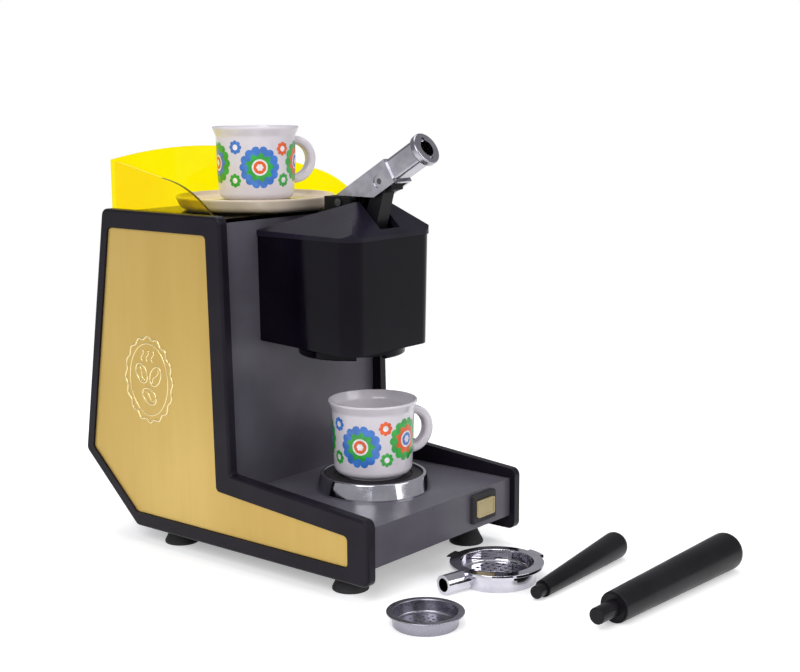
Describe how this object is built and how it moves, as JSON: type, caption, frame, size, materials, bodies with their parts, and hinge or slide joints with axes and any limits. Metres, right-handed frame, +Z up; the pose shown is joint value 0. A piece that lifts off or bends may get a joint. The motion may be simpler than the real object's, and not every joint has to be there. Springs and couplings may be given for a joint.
{
  "type": "toy lever coffee maker",
  "caption": "Toy espresso machine with a sprung press lever and pump, cup tray, cups, saucer, filter holder, basket and two loose plug-in handles.",
  "frame": {"origin": "on the floor, on the machine's middle plane, 92.2 mm behind the front edge of the side frames", "axes": "+X to the machine's right as seen from the front, -Y to the front, +Z up"},
  "size_m": [0.1774, 0.3209, 0.2223],
  "materials": {
    "frame_black": "satin black moulded frame",
    "panel_gold": "brushed gold-coloured sheet",
    "body_grey": "fine-grained grey plastic",
    "base_grey": "dark grey plastic",
    "steel": "zinc-plated steel",
    "foot_rubber": "matt black rubber",
    "tray_amber": "clear amber plastic",
    "head_black": "polished black plastic",
    "cap_black": "satin black plastic",
    "chrome": "bright chrome plate",
    "yoke_black": "matt black plastic",
    "seal_rubber": "black seal rubber",
    "pump_plastic": "natural nylon",
    "tank_plastic": "milky plastic",
    "hose_clear": "soft clear hose",
    "switch_black": "matt black plastic",
    "switch_gold": "gold-coloured plastic",
    "cup_white": "glossy white plastic with printed rosettes",
    "saucer_clear": "smoky tinted plastic",
    "handle_black": "black handle plastic"
  },
  "bodies": {
    "machine": {"left_side_frame": "frame_black", "right_side_frame": "frame_black", "left_gold_panel": "panel_gold", "right_gold_panel": "panel_gold", "body_shell": "body_grey", "base_plate": "base_grey", "back_cover": "body_grey", "base_screws": "steel", "cover_screws": "steel", "head_screws": "steel", "foot_front_left": "foot_rubber", "foot_front_right": "foot_rubber", "foot_rear_left": "foot_rubber", "foot_rear_right": "foot_rubber", "amber_tray": "tray_amber", "head_housing": "head_black", "head_cap": "cap_black", "fulcrum_bracket": "yoke_black", "fulcrum_pin": "steel", "return_spring": "steel", "pump_cylinder": "pump_plastic", "group_collar": "head_black", "shower_plate": "steel", "water_tank": "tank_plastic", "water_hose": "hose_clear", "cup_ring": "chrome", "cup_plate": "switch_black", "switch_bezel": "switch_black"},
    "lever": {"lever_arm": "chrome", "link_pin": "steel"},
    "piston": {"piston_yoke": "yoke_black", "piston_head": "pump_plastic", "piston_seal": "seal_rubber"},
    "switch": {"switch_button": "switch_gold"},
    "cup_under_head": {"lower_cup": "cup_white"},
    "saucer_on_tray": {"saucer": "saucer_clear"},
    "cup_on_saucer": {"upper_cup": "cup_white"},
    "filter_holder": {"portafilter": "chrome"},
    "basket": {"filter_basket": "steel"},
    "holder_handle": {"portafilter_handle": "handle_black"},
    "loose_lever_handle": {"lever_handle": "handle_black"}
  },
  "joints": [
    {"name": "lever_press", "type": "hinge", "parent": "machine", "child": "lever", "pos_m": [0, -0.0294, 0.1855], "axis": [1, 0, 0], "range_deg": [0, 38], "stiffness_Nm_per_rad": 0.3, "springref_deg": -11.46},
    {"name": "piston_stroke", "type": "slide", "parent": "machine", "child": "piston", "axis": [0, 0, -1], "range_m": [0, 0.0172], "deforming": ["return_spring"]},
    {"name": "switch_push", "type": "slide", "parent": "machine", "child": "switch", "axis": [0, 1, 0], "range_m": [0, 0.0015], "stiffness_N_per_m": 300, "springref_m": -0.001},
    {"name": "lower_cup_out", "type": "slide", "parent": "machine", "child": "cup_under_head", "axis": [0, -0.9781, 0.2079], "range_m": [0, 0.11]},
    {"name": "saucer_lift", "type": "slide", "parent": "machine", "child": "saucer_on_tray", "axis": [0, 0, 1], "range_m": [0, 0.06]},
    {"name": "upper_cup_lift", "type": "slide", "parent": "saucer_on_tray", "child": "cup_on_saucer", "axis": [0, 0, 1], "range_m": [0, 0.06]},
    {"name": "filter_holder_lift", "type": "slide", "parent": "machine", "child": "filter_holder", "axis": [0, 0, 1], "range_m": [0, 0.04]},
    {"name": "basket_lift", "type": "slide", "parent": "machine", "child": "basket", "axis": [0, 0, 1], "range_m": [0, 0.04]},
    {"name": "holder_handle_lift", "type": "slide", "parent": "machine", "child": "holder_handle", "axis": [0, 0, 1], "range_m": [0, 0.04]},
    {"name": "lever_handle_lift", "type": "slide", "parent": "machine", "child": "loose_lever_handle", "axis": [0, 0, 1], "range_m": [0, 0.04]}
  ],
  "couplings": [
    {"joint": "piston_stroke", "follows": "lever_press", "m_per_rad": 0.0257}
  ]
}
